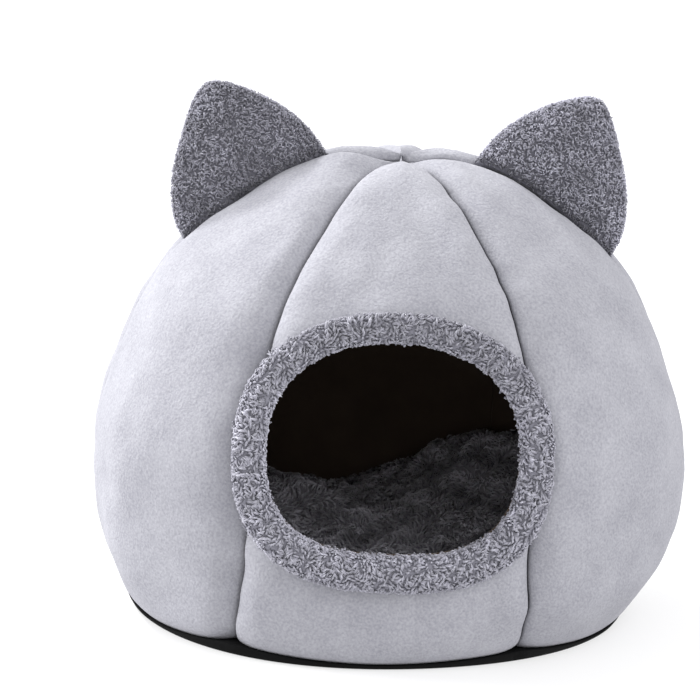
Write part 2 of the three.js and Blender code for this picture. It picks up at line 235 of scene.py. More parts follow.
door = {
    "middle": np.array((-5, -165.5, 145.5)),
    "tilt": math.radians(10),
    "clearWidth": 163,
    "clearHeight": 136,
    "squareTop": 2.2,  # 2 is a plain oval, and more is squarer
    "squareBottom": 2.7,
    "bandWidth": 22.5,
    "bandDrop": 2,  # narrower at the top by this, and wider at the bottom
    "proudTop": 10,
    "proudSides": 12.5,
    "proudBottom": 17,
    "pressed": 0.7,  # share by which the bulging wall is pressed back to the door's plane
    "turnIn": 3.5,  # the hole in the wall is wider than the clear door by this, all round
    "flap": 24,  # how far back the band is drawn before the wall and the cabin are cut from it
    "cutDepth": 60,
    "cutPoints": 120,
}
doorUp = np.array((0, math.sin(door["tilt"]), math.cos(door["tilt"])))
doorOut = np.array((0, -math.cos(door["tilt"]), math.sin(door["tilt"])))
doorAcross = np.array((1.0, 0, 0))


def smoothLine(points, share):  # Catmull-Rom through the points, evenly shared between them
    last = len(points) - 1
    place = np.clip(share, 0, 1) * last
    start = np.floor(place).astype(int)
    t = (place - start)[..., None]
    before, here, after, beyond = (points[np.clip(start + step, 0, last)] for step in (-1, 0, 1, 2))
    leave, arrive = (after - before) / 2, (beyond - here) / 2
    cubed = (2 * (here - after) + leave + arrive) * t ** 3
    squared = (3 * (after - here) - 2 * leave - arrive) * t ** 2
    return cubed + squared + leave * t + here


profileSteps = np.linspace(0, 1, 4001)  # close enough together to read heights from
profileLine = smoothLine(dome["sections"], profileSteps)


def stepAtHeight(height):
    return np.interp(height, profileLine[:, 1], profileSteps)


topStep = np.interp(-dome["topHole"], -profileLine[:, 0], profileSteps)


def leanAt(height):
    return dome["leanBack"] * (height / dome["sections"][-1, 1]) ** 2


def nearness(azimuth, height, patch):
    turned = (azimuth - patch["azimuth"] + 180) % 360 - 180
    return np.exp(-(turned / patch["halfAngle"]) ** 2 - ((height - patch["height"]) / patch["spread"]) ** 2)


def roundPoint(azimuth, step, depth):
    radius, height = np.moveaxis(smoothLine(dome["sections"], step), -1, 0)
    pressed = sum(patch["share"] * nearness(azimuth, height, patch) for patch in dome["pressed"])
    crown = sum(patch["rise"] * nearness(azimuth, height, patch) * smoothstep(0, patch["circle"], radius)
                for patch in dome["crown"])
    wave = 1 + sum(part * np.cos(np.radians(waves * azimuth)) for waves, part in dome["planWaves"].items())
    radius = radius * wave * (1 - pressed)
    rise = (dome["bodyHeight"] - height) * smoothstep(dome["plumbHeight"], dome["bodyHeight"], height)
    share = depth / np.hypot(radius, rise)
    inRadius = radius * (1 - share)
    angle = np.radians(azimuth)
    up = height + rise * share + crown
    return np.stack([inRadius * np.sin(angle), leanAt(height) - inRadius * np.cos(angle), up], -1)


def domePoint(azimuth, step, depth):  # the wall round the door is pressed back towards the door's plane
    proud = np.maximum(0, (roundPoint(azimuth, step, 0) - door["middle"]) @ doorOut)
    return roundPoint(azimuth, step, depth) - door["pressed"] * proud[..., None] * doorOut


def ovalPoint(angle, grow):  # a point of the door's oval, grown outwards, in the door's own plane
    square = np.where(np.sin(angle) > 0, door["squareTop"], door["squareBottom"])
    cos, sin = np.cos(angle), np.sin(angle)
    oval = np.stack([
        door["clearWidth"] / 2 * np.sign(cos) * np.abs(cos) ** (2 / square),
        door["clearHeight"] / 2 * np.sign(sin) * np.abs(sin) ** (2 / square),
    ], -1)
    outward = unit(np.stack([
        np.sign(cos) * np.abs(cos) ** (2 - 2 / square) / door["clearWidth"],
        np.sign(sin) * np.abs(sin) ** (2 - 2 / square) / door["clearHeight"],
    ], -1))
    return oval + outward * np.asarray(grow)[..., None]


def doorPoint(flat, out):
    inPlane = door["middle"] + flat[..., :1] * doorAcross + flat[..., 1:] * doorUp
    return inPlane + np.asarray(out)[..., None] * doorOut


def doorCutter(name, grow):
    oval = ovalPoint(np.linspace(0, 2 * math.pi, door["cutPoints"], endpoint=False), grow)
    return stack(name, [doorPoint(oval, out) for out in (-door["cutDepth"], door["cutDepth"])])


# Panels: padded, turned at the seams, each with its lower corners rounded

panel = {
    "spans": {
        "front": (-31, 27.5),
        "front_right": (27.5, 86.5),
        "back_right": (86.5, 150),
        "back": (150, 212),
        "back_left": (212, 275),
        "front_left": (275, 329),
    },
    "flare": {"degrees": 4, "azimuth": 30, "height": 110},  # the front seams stand wider apart at the floor
    "columns": 54,
    "rows": 84,
    "crowding": 1.15,  # more than 1 sets the rows closer together at the floor
    "seamDepth": 6.5,  # how far the padding is drawn in at a seam
    "seamReach": 20,
    "seamFullness": 2.2,
    "creaseDepth": 2.6,  # the cloth itself turns in sharply at the stitches
    "creaseReach": 3.4,
    "stitchReach": 1.5,  # shade is painted into the cloth's colour this near to the stitches
    "tipReach": 6,  # and painted shade is put on the tips where they are this narrow
    "tipShade": 0.75,
    "hemDepth": 3.2,  # the cloth turns under at the lower edge
    "hemReach": 7,
    "rimLow": 3.2,
    "rimHigh": 8.7,
    "rimFall": 1.6,
    "swells": [  # size apart and height of the padding's unevenness
        {"size": 95, "height": 1.2, "seed": 11},
        {"size": 34, "height": 0.3, "seed": 12},
        {"size": 13, "height": 0.1, "seed": 13},
    ],
    "fullAt": {"seam": 30, "hem": 25},  # it has its full height this far from a seam and from the hem
    "pucker": {"size": 26, "depth": 0.7, "reach": 26, "seed": 14},  # the pull of the seams
    "slopes": {  # panels that fall away in a broad slope towards their second seam
        "front_left": {"depth": 4.5, "reach": 28},
        "front_right": {"depth": 4.0, "reach": 45},
    },
    "slopeFullness": 1.4,
    "dimple": {"depth": 4.5, "radius": 16},  # where the tips meet
    "dents": [  # shallow dents in the front panel, above the door
        {"x": 16, "z": 272, "across": 10, "along": 26, "turn": 35, "depth": 1.5},
        {"x": -14, "z": 262, "across": 9, "along": 22, "turn": -30, "depth": 1.0},
        {"x": 38, "z": 250, "across": 12, "along": 24, "turn": 42, "depth": 1.2},
    ],
    "mostProud": 2,
}


def seamShares(count):  # shares of a panel's width, closer together towards its seams
    return (1 - np.cos(np.linspace(0, math.pi, count))) / 2


def rimHeight(share):
    return panel["rimLow"] + (panel["rimHigh"] - panel["rimLow"]) * np.abs(2 * share - 1) ** panel["rimFall"]


def flaredAzimuth(azimuth, step):
    flare = panel["flare"]
    low = np.clip(1 - smoothLine(dome["sections"], step)[..., 1] / flare["height"], 0, 1) ** 2
    turned = ((azimuth + 180) % 360 - 180) / flare["azimuth"]
    return azimuth + flare["degrees"] * low * turned * np.exp((1 - turned ** 2) / 2)


def dentDepth(dent, place):
    turn = math.radians(dent["turn"])
    dx, dz = place[..., 0] - dent["x"], place[..., 2] - dent["z"]
    across = (dx * math.cos(turn) + dz * math.sin(turn)) / dent["across"]
    along = (dz * math.cos(turn) - dx * math.sin(turn)) / dent["along"]
    return dent["depth"] * np.exp(-across ** 2 - along ** 2) * (place[..., 1] < 0)


def fineRelief(valley, place, radius, fromSeam, fromSecond, fromHem, slope):
    valley += panel["creaseDepth"] * within(panel["creaseReach"], fromSeam) ** 2
    valley += panel["hemDepth"] * within(panel["hemReach"], fromHem) ** 2
    pucker = panel["pucker"]
    pull = within(pucker["reach"], fromSeam)
    valley += pucker["depth"] * pull * swell(place, pucker["size"], pucker["seed"])
    loose = smoothstep(0, panel["fullAt"]["seam"], fromSeam) * smoothstep(0, panel["fullAt"]["hem"], fromHem)
    for part in panel["swells"]:
        valley += part["height"] * loose * swell(place, part["size"], part["seed"])
    valley += panel["dimple"]["depth"] * bell(panel["dimple"]["radius"], radius)
    if slope:
        valley += slope["depth"] * within(slope["reach"], fromSecond) ** panel["slopeFullness"]
    for dent in panel["dents"]:
        valley += dentDepth(dent, place)
    return np.maximum(valley, -panel["mostProud"])


# A panel's face at a depth under the dome's outside. The relief is None for a plain face, "soft" where only
# the seams are drawn in, and "fine" where creases, hem, unevenness and dents are added
def panelGrid(span, shares, rows, depth, relief=None, lowest=None, slope=None):
    start, end = span
    share, row = np.meshgrid(shares, rows)
    low = stepAtHeight(rimHeight(share) + dome["clearance"] if lowest is None else lowest)
    step = low + (topStep - low) * row
    plain = roundPoint(start + (end - start) * share, step, depth)
    radius = np.hypot(plain[..., 0], plain[..., 1])
    spare = np.degrees(dome["clearance"] / 2 / radius)
    azimuth = flaredAzimuth(start + spare + (end - start - 2 * spare) * share, step)
    if relief is None:
        return domePoint(azimuth, step, depth)
    width = radius * math.radians(end - start)
    fromSeam = width * np.minimum(share, 1 - share)
    valley = panel["seamDepth"] * within(panel["seamReach"], fromSeam) ** panel["seamFullness"]
    if relief == "fine":
        place = roundPoint(azimuth, step, 0)
        fromHem = place[..., 2] - rimHeight(share)
        valley = fineRelief(valley, place, radius, fromSeam, width * (1 - share), fromHem, slope)
    return domePoint(azimuth, step, depth + valley)


def domeBlock(name, depth, relief=None):  # all that lies deeper than this under the dome's outside
    shares = seamShares(dome["block"]["columns"])
    rows = np.linspace(0, 1, dome["block"]["rows"])
    sides = [panelGrid(span, shares, rows, depth, relief) for span in panel["spans"].values()]
    return stack(name, np.concatenate(sides, 1))


# Materials

def noiseScale(size):  # for patches this many millimetres across
    return millimetresPerMetre / size


def newMaterial(name):
    material = bpy.data.materials.new(name)
    material.use_nodes = True
    material.node_tree.nodes.clear()
    return material, material.node_tree


# Suedette: brushed polyester micro-suede. The nap is matt and cloudy, speckled and finely crinkled, with
# a pale bloom where it is seen edge on
suedette = {
    "colour": "a5a5ac",
    "shade": "8b8b93",
    "contrast": (0.33, 0.67),  # where the plain shade ends and the plain colour begins
    "paintedSeamShade": "2a2a30",  # painted shade beside the stitches and on the narrow tips
    "roughness": 0.9,
    "bloom": 0.08,
    "cloud": 30,  # mm across the stroked patches
    "nap": 1.7,  # mm, drawn coarser than the real nap so that it shows
    "crinkle": 5.0,  # mm across
    "detail": {"cloud": 4.0, "nap": 2.0, "crinkle": 3.0},
    "cloudShare": 0.38,  # of the mottled colour
    "napShare": 0.62,
    "crinkleHeight": 0.9,  # beside the nap's 1
    "relief": 1,  # mm
    "bump": 0.5,
}


def makeSuedette():
    material, tree = newMaterial("brushedSuedette")
    place = addNode(tree, "ShaderNodeTexCoord")
    noise = {}
    for name, detail in suedette["detail"].items():
        cloudy = addNode(tree, "ShaderNodeTexNoise", {"Scale": noiseScale(suedette[name]), "Detail": detail},
                         {"Vector": place.outputs["Object"]})
        noise[name] = cloudy.outputs["Fac"]
    speckle = addNode(tree, "ShaderNodeMath", {"operation": "MULTIPLY", 1: suedette["napShare"]},
                      {0: noise["nap"]})
    mottle = addNode(tree, "ShaderNodeMath", {"operation": "MULTIPLY_ADD", 1: suedette["cloudShare"]},
                     {0: noise["cloud"], 2: speckle.outputs["Value"]})
    colour = addNode(tree, "ShaderNodeValToRGB", links={"Fac": mottle.outputs["Value"]})
    for element, position, key in zip(colour.color_ramp.elements, suedette["contrast"], ("shade", "colour")):
        element.position, element.color = position, linear(suedette[key])
    # painted shade: the seam attribute darkens the colour beside the stitches and on the narrow tips
    seam = addNode(tree, "ShaderNodeAttribute", {"attribute_name": "seam"})
    withSeamShade = addNode(tree, "ShaderNodeMix", {"data_type": "RGBA", 7: linear(suedette["paintedSeamShade"])},
                       {0: seam.outputs["Fac"], 6: colour.outputs["Color"]})
    height = addNode(tree, "ShaderNodeMath", {"operation": "MULTIPLY_ADD", 1: suedette["crinkleHeight"]},
                     {0: noise["crinkle"], 2: noise["nap"]})
    bump = addNode(tree, "ShaderNodeBump", {
        "Strength": suedette["bump"], "Distance": suedette["relief"] * metresPerMillimetre,
    }, {"Height": height.outputs["Value"]})
    shader = addNode(tree, "ShaderNodeBsdfPrincipled", {
        "Roughness": suedette["roughness"], "IOR": 1.5, "Specular IOR Level": 0.2,
        "Sheen Weight": suedette["bloom"], "Sheen Roughness": 0.5, "Sheen Tint": linear("f6f6fa"),
    }, {"Base Color": withSeamShade.outputs[2], "Normal": bump.outputs["Normal"]})
    addNode(tree, "ShaderNodeOutputMaterial", links={"Surface": shader.outputs["BSDF"]})
    return material


# Curly plush: knitted polyester pile in short locks. Each lock is dark at its root and pale at its tip
plush = {
    "bodyAt": 0.45,  # share of a lock's length where its own colour is reached
    "roughness": 0.8,
    "bloom": 0.25,
}


def makePlush(name, root, body, tip, bloom=plush["bloom"]):
    material, tree = newMaterial(name)
    along = addNode(tree, "ShaderNodeAttribute", {"attribute_name": "tip"})
    tone = addNode(tree, "ShaderNodeAttribute", {"attribute_name": "tone"})
    colour = addNode(tree, "ShaderNodeValToRGB", links={"Fac": along.outputs["Fac"]})
    ramp = colour.color_ramp
    ramp.elements[0].color = linear(root)
    ramp.elements[1].color = linear(tip)
    ramp.elements.new(plush["bodyAt"]).color = linear(body)
    shade = addNode(tree, "ShaderNodeMix", {"data_type": "RGBA", "blend_type": "MULTIPLY", 0: 1.0},
                    {6: colour.outputs["Color"], 7: tone.outputs["Fac"]})
    shader = addNode(tree, "ShaderNodeBsdfPrincipled", {
        "Roughness": plush["roughness"], "IOR": 1.5, "Specular IOR Level": 0.25,
        "Sheen Weight": bloom, "Sheen Roughness": 0.4, "Sheen Tint": linear("f6f6fa"),
    }, {"Base Color": shade.outputs[2]})
    addNode(tree, "ShaderNodeOutputMaterial", links={"Surface": shader.outputs["BSDF"]})
    return material


# Lining cloth: dark brown woven polyester, matt and a little cloudy, with a faint thread bump
liningCloth = {
    "dark": "40352d",
    "pale": "574a3f",
    "cloud": 30,  # mm across
    "thread": 1.5,  # mm, drawn coarser than the real threads so that it shows
    "relief": 0.4,  # mm
    "bump": 0.4,
    "roughness": 0.9,
    "bloom": 0.15,
}


def makeLiningCloth():
    material, tree = newMaterial("wovenLining")
    place = addNode(tree, "ShaderNodeTexCoord")
    cloud = addNode(tree, "ShaderNodeTexNoise", {"Scale": noiseScale(liningCloth["cloud"]), "Detail": 3.0},
                    {"Vector": place.outputs["Object"]})
    thread = addNode(tree, "ShaderNodeTexNoise", {"Scale": noiseScale(liningCloth["thread"]), "Detail": 2.0},
                     {"Vector": place.outputs["Object"]})
    colour = addNode(tree, "ShaderNodeValToRGB", links={"Fac": cloud.outputs["Fac"]})
    for element, key in zip(colour.color_ramp.elements, ("dark", "pale")):
        element.color = linear(liningCloth[key])
    bump = addNode(tree, "ShaderNodeBump", {
        "Strength": liningCloth["bump"], "Distance": liningCloth["relief"] * metresPerMillimetre,
    }, {"Height": thread.outputs["Fac"]})
    shader = addNode(tree, "ShaderNodeBsdfPrincipled", {
        "Roughness": liningCloth["roughness"], "IOR": 1.5, "Specular IOR Level": 0.2,
        "Sheen Weight": liningCloth["bloom"], "Sheen Roughness": 0.5,
    }, {"Base Color": colour.outputs["Color"], "Normal": bump.outputs["Normal"]})
    addNode(tree, "ShaderNodeOutputMaterial", links={"Surface": shader.outputs["BSDF"]})
    return material


# Base cloth: plain black woven polyester, dull, with a faint grain
baseCloth = {
    "dark": "040405",
    "pale": "0c0c0d",
    "grain": 1.8,  # mm, drawn coarser than the real weave so that it shows
    "relief": 0.5,  # mm
    "bump": 0.5,
    "roughness": 0.85,
}


def makeBaseCloth():
    material, tree = newMaterial("blackBaseCloth")
    place = addNode(tree, "ShaderNodeTexCoord")
    grain = addNode(tree, "ShaderNodeTexNoise", {"Scale": noiseScale(baseCloth["grain"]), "Detail": 2.0},
                    {"Vector": place.outputs["Object"]})
    colour = addNode(tree, "ShaderNodeValToRGB", links={"Fac": grain.outputs["Fac"]})
    for element, key in zip(colour.color_ramp.elements, ("dark", "pale")):
        element.color = linear(baseCloth[key])
    bump = addNode(tree, "ShaderNodeBump", {
        "Strength": baseCloth["bump"], "Distance": baseCloth["relief"] * metresPerMillimetre,
    }, {"Height": grain.outputs["Fac"]})
    shader = addNode(tree, "ShaderNodeBsdfPrincipled", {
        "Roughness": baseCloth["roughness"], "IOR": 1.5, "Specular IOR Level": 0.12,
    }, {"Base Color": colour.outputs["Color"], "Normal": bump.outputs["Normal"]})
    addNode(tree, "ShaderNodeOutputMaterial", links={"Surface": shader.outputs["BSDF"]})
    return material


suedetteMaterial = makeSuedette()
bandMaterial = makePlush("curlyPlushPale", "5a5a63", "95949f", "b6b6c0")
earMaterial = makePlush("curlyPlushDark", "404047", "807f8a", "b4b4be")
earBackMaterial = makePlush("shortPlush", "6a6971", "93929c", "bcbbc4")
cushionMaterial = makePlush("deepPlushCharcoal", "68666d", "9d9ba3", "aeacb4", bloom=0.1)
liningMaterial = makeLiningCloth()
baseMaterial = makeBaseCloth()
print("materials made")


# The six panel covers, cut from these shapes

def paintSeamShade(piece, outside):  # how much painted shade each point gets beside the stitches and on the narrow tips, with the inside face all in painted shade
    across = np.linalg.norm(np.diff(outside, axis=1), axis=-1)
    fromLeft = np.concatenate([np.zeros((len(across), 1)), np.cumsum(across, 1)], 1)
    fromSeam = np.minimum(fromLeft, fromLeft[:, -1:] - fromLeft)
    tips = panel["tipShade"] * bell(panel["tipReach"], across.sum(1)[:, None])
    shade = np.maximum(bell(panel["stitchReach"], fromSeam), tips)
    seam = piece.data.attributes.new("seam", "FLOAT", "POINT")
    seam.data.foreach_set("value", np.concatenate([shade.ravel(), np.ones(shade.size)]).astype(np.float32))


def addPanels():
    shares = seamShares(panel["columns"])
    rows = np.linspace(0, 1, panel["rows"]) ** panel["crowding"]
    opening = doorCutter("doorOpening", door["turnIn"] + dome["clearance"])
    for name, span in panel["spans"].items():
        outside = panelGrid(span, shares, rows, 0, "fine", slope=panel["slopes"].get(name))
        inside = panelGrid(span, shares, rows, dome["wall"])
        piece = slab(f"panel_cover_{name}", outside, inside)
        paintSeamShade(piece, outside)
        if name == "front":
            cutAway(piece, opening)
        finishPiece(piece, suedetteMaterial, "suede", f"panel_{name}")
    bpy.data.objects.remove(opening)


addPanels()
print("panels made")


# Lining: one sheet behind each panel, a little loose between its seams

lining = {
    "thickness": 1.6,
    "columns": 26,
    "rows": 44,
    "slack": [{"size": 60, "height": 0.7, "seed": 21}, {"size": 24, "height": 0.4, "seed": 22}],
    "slackRise": 0.4,  # it stands off inwards more than up or down
    "slackFrom": (40, 90),  # there is none below the first height, and all of it above the second
    "floor": 2.7,  # it ends here, on the base cloth
}


def addLining():
    shares = seamShares(lining["columns"])
    rows = np.linspace(0, 1, lining["rows"])
    near = dome["wall"] + dome["clearance"]
    heart = np.array((0, 0, dome["bodyHeight"]))
    opening = doorCutter("liningOpening", dome["clearance"])
    for name, span in panel["spans"].items():
        plain = panelGrid(span, shares, rows, near, lowest=lining["floor"])
        slack = sum(part["height"] * np.abs(swell(plain, part["size"], part["seed"]))
                    for part in lining["slack"])
        inward = unit(heart - plain) * (1, 1, lining["slackRise"])
        loose = np.sin(math.pi * shares)[None, :, None] * smoothstep(*lining["slackFrom"], plain[..., 2:])
        outside = plain + inward * slack[..., None] * loose
        inside = outside + unit(heart - outside) * lining["thickness"]
        width = np.linalg.norm(np.diff(plain, axis=1), axis=-1).sum(1)
        length = np.linalg.norm(np.diff(plain, axis=0), axis=-1).sum(0).max()
        piece = slab(f"lining_cloth_{name}", outside, inside)
        area = float(width.mean() * length)
        if name == "front":
            cutAway(piece, opening)
            area -= math.pi / 4 * door["clearWidth"] * door["clearHeight"]
        finishPiece(piece, liningMaterial, "lining", f"lining_{name}")
    bpy.data.objects.remove(opening)


addLining()
print("lining made")


# Locks of pile: tapered, three-sided and bent over, joined into one mesh with their backing

lock = {
    "lengths": (0.7, 1.3),  # least and greatest share of the length that a look gives
    "lifts": (0.65, 1.3),
    "widths": (0.75, 1.3),
    "rising": 1.35,  # more than 1 brings it to its full height before its tip
    "droop": 0.35,  # share of that height that the tip loses
    "rootDepth": 0.6,
    "bend": 1.2,  # more than 1 starts it more upright than it ends
    "curlTurn": 4,  # radians of curl from root to tip
    "taper": 0.4,
    "corners": ((0, 0.75), (0.95, -0.45), (-0.95, -0.45)),  # of its section, in half widths
}


def lockMesh(roots, normals, combed, look, seed, size, first):  # first is the number of its first point
    draw = np.random.default_rng(seed)
    count, sides = len(roots), len(lock["corners"])
    side = unit(np.cross(normals, combed))
    combed = np.cross(side, normals)
    length = look["length"] * size * draw.uniform(*lock["lengths"], count)
    lift = look["lift"] * size * draw.uniform(*lock["lifts"], count)
    width = look["width"] * draw.uniform(*lock["widths"], count)
    curl = look["curl"] * size * draw.normal(size=count)
    twist = draw.uniform(0, 2 * math.pi, count)
    levels = np.linspace(0, 1, look["steps"] + 1)
    rings = []
    for level in levels:
        rise = math.sin(min(1, level * lock["rising"]) * math.pi / 2)
        height = lift * rise * (1 - lock["droop"] * level ** 2) - lock["rootDepth"] * (level == 0)
        reach = length * level ** lock["bend"]
        wave = curl * np.sin(level * lock["curlTurn"] + twist) * level
        centre = roots + normals * height[:, None] + combed * reach[:, None] + side * wave[:, None]
        if level == 1:
            rings.append(centre[:, None])
            continue
        thin = (1 - level) ** lock["taper"]
        rings.append(np.stack([
            centre + side * (a * width * thin / 2)[:, None] + normals * (b * width * thin / 2)[:, None]
            for a, b in lock["corners"]
        ], 1))
    points = np.concatenate(rings, 1)
    perLock = points.shape[1]
    last = (look["steps"] - 1) * sides
    pattern = [tuple(reversed(range(sides)))] + gridFaces(look["steps"], sides, closed=True)
    pattern += [(last + corner, last + (corner + 1) % sides, last + sides) for corner in range(sides)]
    starts = range(first, first + count * perLock, perLock)
    faces = [tuple(start + corner for corner in face) for start in starts for face in pattern]
    tip = np.tile(np.concatenate([np.repeat(levels[:-1], sides), [1.0]]), count)
    tone = np.repeat(look["tone"] * draw.uniform(1 - look["mix"], 1 + look["mix"], count), perLock)
    return points.reshape(-1, 3), faces, tip, tone


def addPile(piece, roots, normals, combed, look, seed, toneAt, size=1):
    mesh = piece.data
    count = len(mesh.vertices)
    points, faces, tip, tone = lockMesh(roots, normals, combed, look, seed, size, count)
    tone = tone * np.repeat(toneAt, len(points) // len(roots))
    own = np.empty(count * 3)
    mesh.vertices.foreach_get("co", own)
    ownFaces = [tuple(face.vertices) for face in mesh.polygons]
    allPoints = np.concatenate([own.reshape(-1, 3), points * metresPerMillimetre])
    joined = bpy.data.meshes.new(piece.name)
    joined.from_pydata(allPoints.tolist(), [], ownFaces + faces)
    shadeSmooth(joined)
    for name, backing, values in (("tip", look["backing"], tip), ("tone", look["tone"], tone)):
        everywhere = np.concatenate([np.full(count, backing), values]).astype(np.float32)
        joined.attributes.new(name, "FLOAT", "POINT").data.foreach_set("value", everywhere)
    piece.data = joined


def meshCorners(piece):
    mesh = piece.data
    mesh.calc_loop_triangles()
    points = np.array([v.co for v in mesh.vertices]) / metresPerMillimetre
    return points[np.array([t.vertices for t in mesh.loop_triangles])]


def faceNormals(corners):
    return unit(np.cross(corners[:, 1] - corners[:, 0], corners[:, 2] - corners[:, 0]))


def squareGap(point, other):
    dx, dy, dz = point[0] - other[0], point[1] - other[1], point[2] - other[2]
    return dx * dx + dy * dy + dz * dz


# Points spread evenly over triangles, none closer than the spacing, each with its triangle's normal
def scatter(corners, spacing, seed, attempts=3):
    draw = np.random.default_rng(seed)
    a, b, c = corners[:, 0], corners[:, 1], corners[:, 2]
    area = np.linalg.norm(np.cross(b - a, c - a), axis=1) / 2
    tries = int(area.sum() / spacing ** 2 * attempts)
    chosen = draw.choice(len(corners), tries, p=area / area.sum())
    u, v = draw.random((2, tries))
    fold = u + v > 1
    u[fold], v[fold] = 1 - u[fold], 1 - v[fold]
    points = a[chosen] + (b - a)[chosen] * u[:, None] + (c - a)[chosen] * v[:, None]
    around = [(dx, dy, dz) for dx in (-1, 0, 1) for dy in (-1, 0, 1) for dz in (-1, 0, 1)]
    cells, kept = {}, []
    for index, point in enumerate(points.tolist()):
        x, y, z = (math.floor(part / spacing) for part in point)
        near = (other for dx, dy, dz in around for other in cells.get((x + dx, y + dy, z + dz), ()))
        if all(squareGap(point, other) >= spacing * spacing for other in near):
            cells.setdefault((x, y, z), []).append(point)
            kept.append(index)
    return points[kept], faceNormals(corners)[chosen][kept]


def surfaceTree(piece):
    mesh = piece.data
    return BVHTree.FromPolygons([v.co for v in mesh.vertices], [p.vertices for p in mesh.polygons])


def smoothNormals(piece, points, blur=0.2):  # the piece's smooth normal nearest to each point
    mesh = piece.data
    tree = surfaceTree(piece)
    vertexNormals = np.array([n.vector for n in mesh.vertex_normals])
    found = []
    for point in points:
        face = tree.find_nearest(Vector(point * metresPerMillimetre))[2]
        corners = mesh.polygons[face].vertices
        gaps = [(mesh.vertices[i].co / metresPerMillimetre - Vector(point)).length for i in corners]
        weighted = (vertexNormals[i] * (1 / (gap + blur)) for i, gap in zip(corners, gaps))
        found.append(sum(weighted, np.zeros(3)))
    return unit(np.array(found))


# Which way each lock lies: broad swirls in the surface, with some stray
def combPile(roots, normals, swirl, seed, ahead, across):
    stray = np.random.default_rng(seed + 1).normal(0, swirl["stray"], len(roots))
    turn = swirl["turn"] * swell(roots, swirl["size"], seed) + stray
    combed = ahead * np.cos(turn)[:, None] + across * np.sin(turn)[:, None]
    return combed - normals * (combed * normals).sum(1)[:, None]


def clumps(roots, size, seed, most=2):  # high where locks stand together, and low between them
    return np.clip(swell(roots, size, seed), -most, most)


# Door band: a soft roll of curly plush that turns in through the wall

band = {
    "core": 4.0,  # the backing lies this far under the tips of the pile
    "around": 132,
    "bends": 19,
    "fullness": 0.8,  # 1 is a round roll, and less is squarer
    # pile grows on faces that look to the front or the side by these, down to these depths
    "cover": {"front": 0.05, "side": 0.5, "innerDepth": 12, "outerDepth": 1},
    "spacing": 1.3,
    "facets": 0.3,  # share of a face's own direction in the way its locks stand
    "swirl": {"size": 16, "turn": 2.4, "stray": 0.2},  # mm between turns of the pile's direction, and radians
    "patches": {"size": 9, "tone": 0.07},
    "clump": {"size": 3.2, "tone": 0.07, "height": 0.14},  # locks that stand together
    "inner": {"facing": (0.3, 0.8), "tone": 0.25, "shorter": 0.3},  # paler and shorter round the opening
    "outer": {"facing": (0.3, 0.9), "shorter": 0.35},
    "top": {"facing": (0.2, 0.9), "shade": 0.2},  # painted shade: the pile is painted darker over the door
    "look": {"length": 4.6, "lift": 2.3, "width": 2.2, "curl": 0.7, "steps": 3, "tone": 1.0, "mix": 0.1,
             "backing": 0.25},
    "seed": 31,
}


def bandSection(angle, inset):
    up = np.sin(angle)
    width = door["bandWidth"] - door["bandDrop"] * up
    proudEnd = np.where(up > 0, door["proudTop"], door["proudBottom"])
    proud = door["proudSides"] + (proudEnd - door["proudSides"]) * up ** 2
    bend = np.radians(np.linspace(0, 180, band["bends"]))
    soft = np.sign(np.cos(bend)) * np.abs(np.cos(bend)) ** band["fullness"]
    grow = [inset / 2 + (width - inset) / 2 * (1 + s) for s in soft] + [inset / 2, door["turnIn"], width]
    out = [(proud - inset) * max(0, math.sin(b)) ** band["fullness"] for b in bend] + [-door["flap"]] * 3
    return [doorPoint(ovalPoint(angle, g), o) for g, o in zip(grow, out)]


def makeBandCore():  # the section, carried round the door and cut to lie against the wall
    angle = np.linspace(0, 2 * math.pi, band["around"], endpoint=False)
    section = np.stack(bandSection(angle, band["core"]), 1)
    rows, columns = section.shape[:2]
    faces = []
    for row in range(rows):
        for column in range(columns):
            after, turn = (row + 1) % rows, (column + 1) % columns
            low, high = row * columns, after * columns
            faces.append((low + column, high + column, high + turn, low + turn))
    piece = makeMesh("door_edging", section.reshape(-1, 3), faces)
    wall = domeBlock("wallBlock", -dome["clearance"], "soft")
    hole = doorCutter("bandHole", door["turnIn"])
    cutAway(wall, hole)
    cabin = domeBlock("cabinBlock", dome["wall"])
    cutAway(piece, wall, cabin)
    for block in (wall, hole, cabin):
        bpy.data.objects.remove(block)
    return piece


def fromDoor(points):  # how far out of the door's plane points are, and which way they lie from its middle
    local = points - door["middle"]
    out = local @ doorOut
    return out, unit(local - out[:, None] * doorOut)


def addDoorBand():
    piece = makeBandCore()
    corners, cover, seed = meshCorners(piece), band["cover"], band["seed"]
    facing = faceNormals(corners)
    out, radial = fromDoor(corners.mean(1))
    outer = (facing * radial).sum(1)
    shown = facing @ doorOut > cover["front"]
    shown |= (outer < -cover["side"]) & (out > -cover["innerDepth"])
    shown |= (outer > cover["side"]) & (out > -cover["outerDepth"])
    roots, flat = scatter(corners[shown], band["spacing"], seed)
    normals = unit(smoothNormals(piece, roots) + band["facets"] * flat)
    radial = fromDoor(roots)[1]
    ringwise = unit(np.cross(radial, doorOut))
    combed = combPile(roots, normals, band["swirl"], seed + 1, ringwise, unit(np.cross(normals, ringwise)))
    outwards = (normals * radial).sum(1)
    inner, outer, top = band["inner"], band["outer"], band["top"]
    inside, outside = smoothstep(*inner["facing"], -outwards), smoothstep(*outer["facing"], outwards)
    clump = clumps(roots, band["clump"]["size"], seed + 5)
    toneAt = 1 + band["patches"]["tone"] * swell(roots, band["patches"]["size"], seed + 3)
    toneAt = toneAt + band["clump"]["tone"] * clump + inner["tone"] * inside
    # painted shade towards the top of the band
    toneAt -= top["shade"] * smoothstep(*top["facing"], radial @ doorUp)
    size = 1 - inner["shorter"] * inside - outer["shorter"] * outside
    size = size * (1 + band["clump"]["height"] * (1 + inside) * clump)
    addPile(piece, roots, normals, combed, band["look"], seed + 4, toneAt, size)
    print("band locks", len(roots))
    finishPiece(piece, bandMaterial, "plush", "door_band")


addDoorBand()
print("door band made")


# Ears: two cloths round a filling, the front one in longer curly pile

